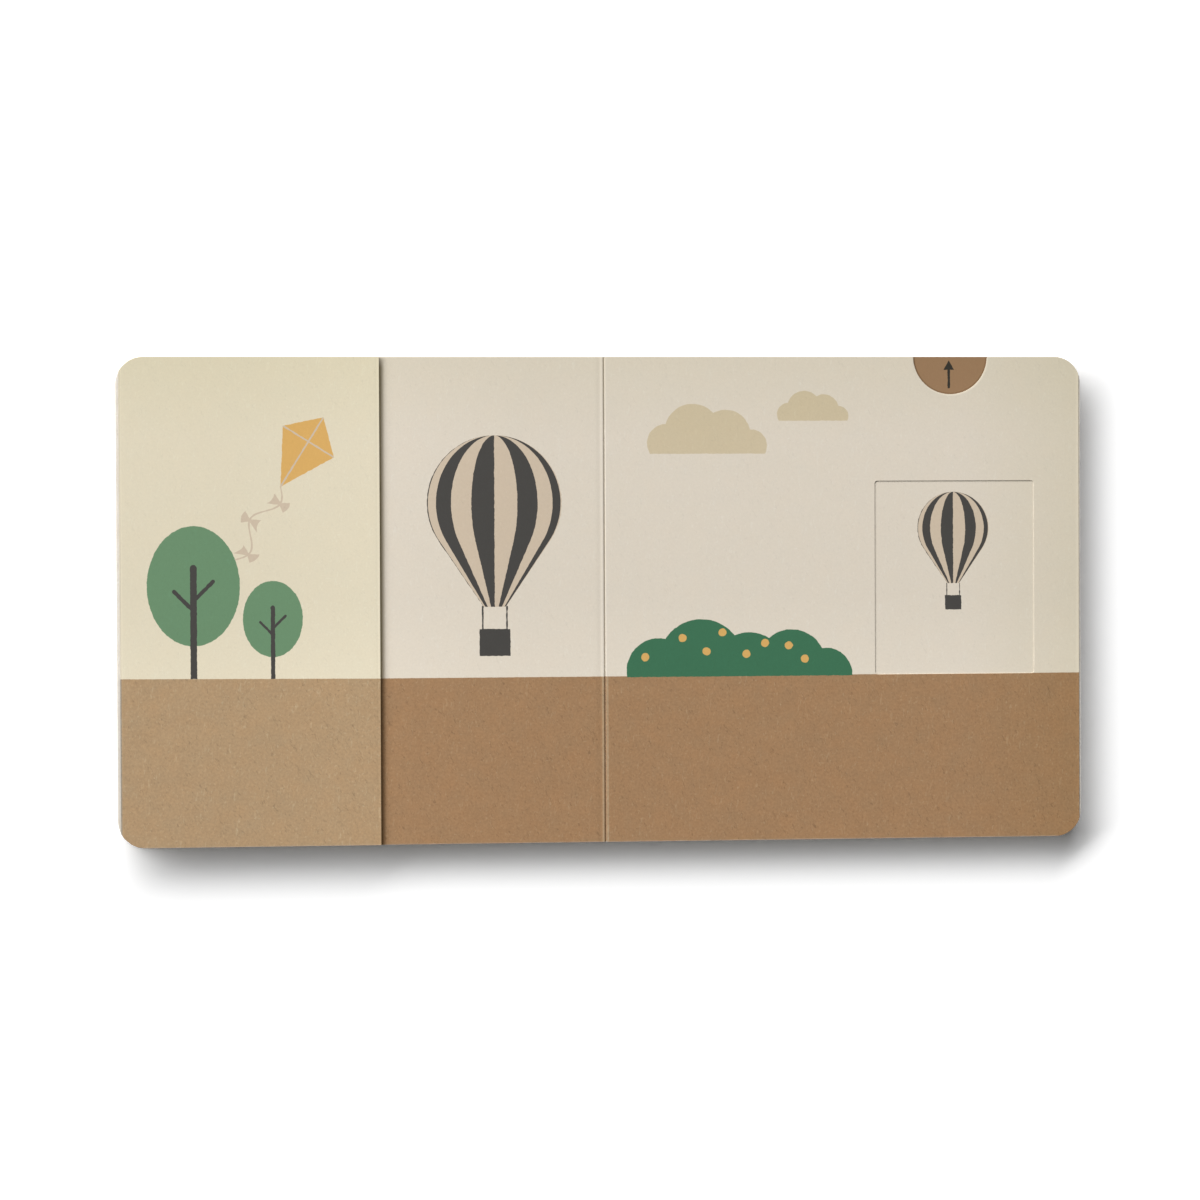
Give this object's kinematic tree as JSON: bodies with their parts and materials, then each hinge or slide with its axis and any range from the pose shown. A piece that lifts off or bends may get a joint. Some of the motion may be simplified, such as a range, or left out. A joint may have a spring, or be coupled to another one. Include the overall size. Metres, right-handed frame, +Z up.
{
  "type": "board book",
  "caption": "Square board book lying open, with a fold-over flap on the left page and a pull card that slides behind a window and thumb notch in the right page.",
  "frame": {"origin": "on the resting surface, under the middle of the gutter of the open book", "axes": "+X across the right page to its fore-edge, +Y to the head of the book, +Z up from the page"},
  "size_m": [0.36, 0.18, 0.0111],
  "materials": {
    "cover_board": "matt printed board",
    "leaf_board": "pale trimmed board",
    "gatefold_card": "matt printed card",
    "window_sheet": "matt printed card",
    "pull_card_stock": "matt printed card"
  },
  "bodies": {
    "back_half": {"back_cover": "cover_board", "right_pages": "leaf_board", "slide_guide": "leaf_board", "window_page": "window_sheet"},
    "front_half": {"front_cover": "cover_board", "left_pages": "leaf_board", "gatefold_leaf": "gatefold_card"},
    "pull_card": {"pull_card": "pull_card_stock"}
  },
  "joints": [
    {"name": "front_cover_fold", "type": "hinge", "parent": "back_half", "child": "front_half", "pos_m": [0, 0, 0.0092], "axis": [0, 1, 0], "range_deg": [0, 178.8]},
    {"name": "pull_card_slide", "type": "slide", "parent": "back_half", "child": "pull_card", "axis": [0, 1, 0], "range_m": [0, 0.049]}
  ]
}
